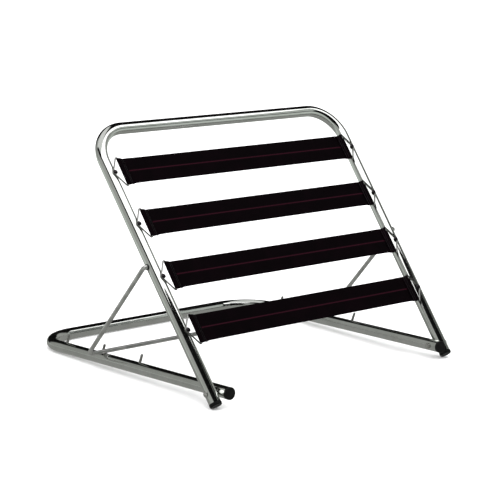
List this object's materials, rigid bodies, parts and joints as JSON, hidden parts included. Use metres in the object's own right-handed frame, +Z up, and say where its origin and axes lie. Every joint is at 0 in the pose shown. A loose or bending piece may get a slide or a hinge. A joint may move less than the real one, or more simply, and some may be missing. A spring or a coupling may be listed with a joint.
{
  "type": "folding backrest frame",
  "caption": "Folding bed backrest: flat base frame, leaning back frame with elastic straps, and a wire prop that catches on pegs.",
  "frame": {"origin": "on the floor, under the middle of the whole frame as it stands", "axes": "+X to the sitter's left seen from the front (right in the front view), +Y to the rear, +Z up"},
  "size_m": [0.6146, 0.6027, 0.4559],
  "materials": {
    "chrome_tube": "polished chrome plate",
    "prop_rod": "dull zinc-plated wire",
    "end_cap": "semi-gloss black",
    "pivot_metal": "bright plated steel",
    "washer": "plain steel",
    "bush": "dark grey",
    "peg": "plated steel",
    "webbing": "woven elastic, black with a dark red centre line",
    "ring_wire": "plated wire",
    "stud": "blackened steel"
  },
  "bodies": {
    "base": {"base_frame": "chrome_tube", "base_cap_left": "end_cap", "base_cap_right": "end_cap", "pivot_bolt_left": "pivot_metal", "pivot_bolt_right": "pivot_metal", "pivot_washer_left": "washer", "pivot_washer_right": "washer", "pivot_nut_left": "pivot_metal", "pivot_nut_right": "pivot_metal", "peg_front_left": "peg", "peg_middle_left": "peg", "peg_rear_left": "peg", "peg_front_right": "peg", "peg_middle_right": "peg", "peg_rear_right": "peg"},
    "back": {"back_frame": "chrome_tube", "back_cap_left": "end_cap", "back_cap_right": "end_cap", "prop_bush_left": "bush", "prop_bush_right": "bush", "strap_1": "webbing", "strap_2": "webbing", "strap_3": "webbing", "strap_4": "webbing", "ring_1_left": "ring_wire", "ring_2_left": "ring_wire", "ring_3_left": "ring_wire", "ring_4_left": "ring_wire", "ring_1_right": "ring_wire", "ring_2_right": "ring_wire", "ring_3_right": "ring_wire", "ring_4_right": "ring_wire", "stud_1_left": "stud", "stud_2_left": "stud", "stud_3_left": "stud", "stud_4_left": "stud", "stud_1_right": "stud", "stud_2_right": "stud", "stud_3_right": "stud", "stud_4_right": "stud"},
    "prop": {"prop_bail": "prop_rod"}
  },
  "joints": [
    {"name": "back_fold", "type": "hinge", "parent": "base", "child": "back", "pos_m": [0, -0.27554, 0.02542], "axis": [1, 0, 0], "range_deg": [-46, 0]},
    {"name": "prop_fold", "type": "hinge", "parent": "base", "child": "prop", "pos_m": [0, 0.05823, 0.03222], "axis": [1, 0, 0], "range_deg": [0, 44.6]}
  ],
  "couplings": [
    {"joint": "prop_fold", "follows": "back_fold", "ratio": -0.967}
  ]
}
